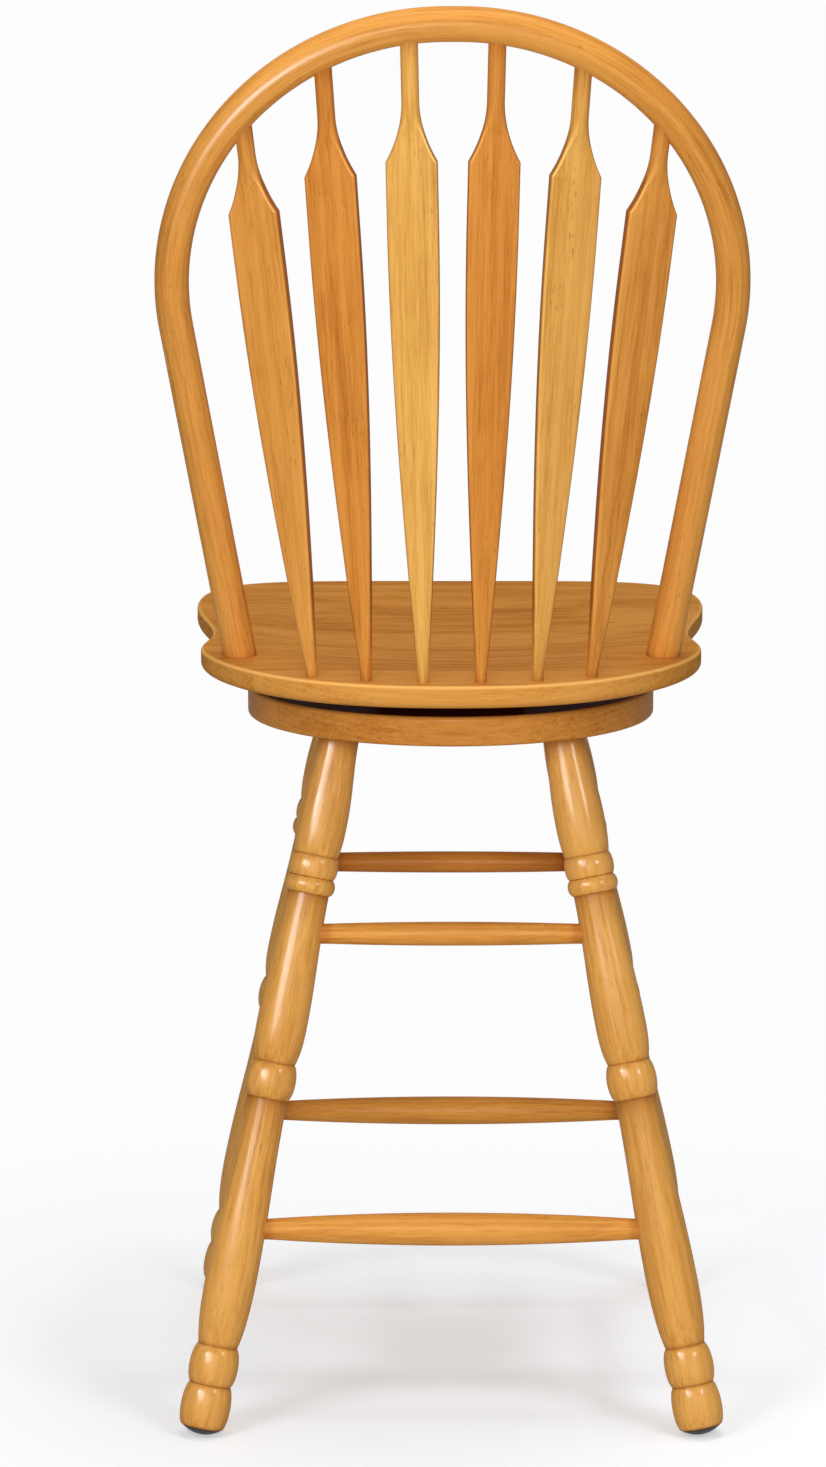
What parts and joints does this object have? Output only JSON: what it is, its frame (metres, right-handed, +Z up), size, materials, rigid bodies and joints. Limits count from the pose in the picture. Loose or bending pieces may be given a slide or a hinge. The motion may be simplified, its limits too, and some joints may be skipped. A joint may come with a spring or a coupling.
{
  "type": "windsor swivel bar stool",
  "caption": "Counter-height Windsor stool with an arrow-spindle bow back on a shaped wooden seat that swivels over turned, splayed legs joined by stretchers.",
  "frame": {"origin": "on the floor, under the middle of the stool's footprint", "axes": "+X to the sitter's left, +Y to the back of the seat, +Z up; the swivel axis is 21 mm in front of the origin"},
  "size_m": [0.4514, 0.4696, 1.1141],
  "materials": {
    "seat_oak": "gloss varnish over honey stain",
    "bow_oak": "gloss varnish over honey stain",
    "pale_spindle_oak": "gloss varnish over honey stain, pale board",
    "red_spindle_oak": "gloss varnish over honey stain, reddish board",
    "honey_spindle_oak": "gloss varnish over honey stain",
    "leg_oak": "gloss varnish over honey stain",
    "stretcher_oak": "gloss varnish over honey stain",
    "disc_oak": "gloss varnish over honey stain",
    "swivel_steel": "black lacquered pressed steel",
    "bearing_nylon": "plain moulded nylon",
    "screw_steel": "zinc-plated",
    "glide_plastic": "black moulded plastic, scuffed"
  },
  "bodies": {
    "base": {"front_lower_stretcher": "stretcher_oak", "front_upper_stretcher": "stretcher_oak", "glide_front_left": "glide_plastic", "glide_front_right": "glide_plastic", "glide_rear_left": "glide_plastic", "glide_rear_right": "glide_plastic", "left_lower_stretcher": "stretcher_oak", "left_upper_stretcher": "stretcher_oak", "leg_disc": "disc_oak", "leg_front_left": "leg_oak", "leg_front_right": "leg_oak", "leg_rear_left": "leg_oak", "leg_rear_right": "leg_oak", "leg_screws": "screw_steel", "rear_lower_stretcher": "stretcher_oak", "rear_upper_stretcher": "stretcher_oak", "right_lower_stretcher": "stretcher_oak", "right_upper_stretcher": "stretcher_oak", "swivel_bearing_ring": "bearing_nylon", "swivel_bottom_plate": "swivel_steel", "swivel_bottom_screws": "screw_steel", "swivel_pivot_rivet": "swivel_steel"},
    "swivel_seat": {"bow": "bow_oak", "bow_screws": "screw_steel", "seat": "seat_oak", "spindle_inner_left": "pale_spindle_oak", "spindle_inner_right": "red_spindle_oak", "spindle_middle_left": "red_spindle_oak", "spindle_middle_right": "pale_spindle_oak", "spindle_outer_left": "honey_spindle_oak", "spindle_outer_right": "honey_spindle_oak", "swivel_top_plate": "swivel_steel", "swivel_top_screws": "screw_steel"}
  },
  "joints": [
    {"name": "seat_swivel", "type": "hinge", "parent": "base", "child": "swivel_seat", "pos_m": [0, -0.02056, 0.5735], "axis": [0, 0, 1], "continuous": true}
  ]
}
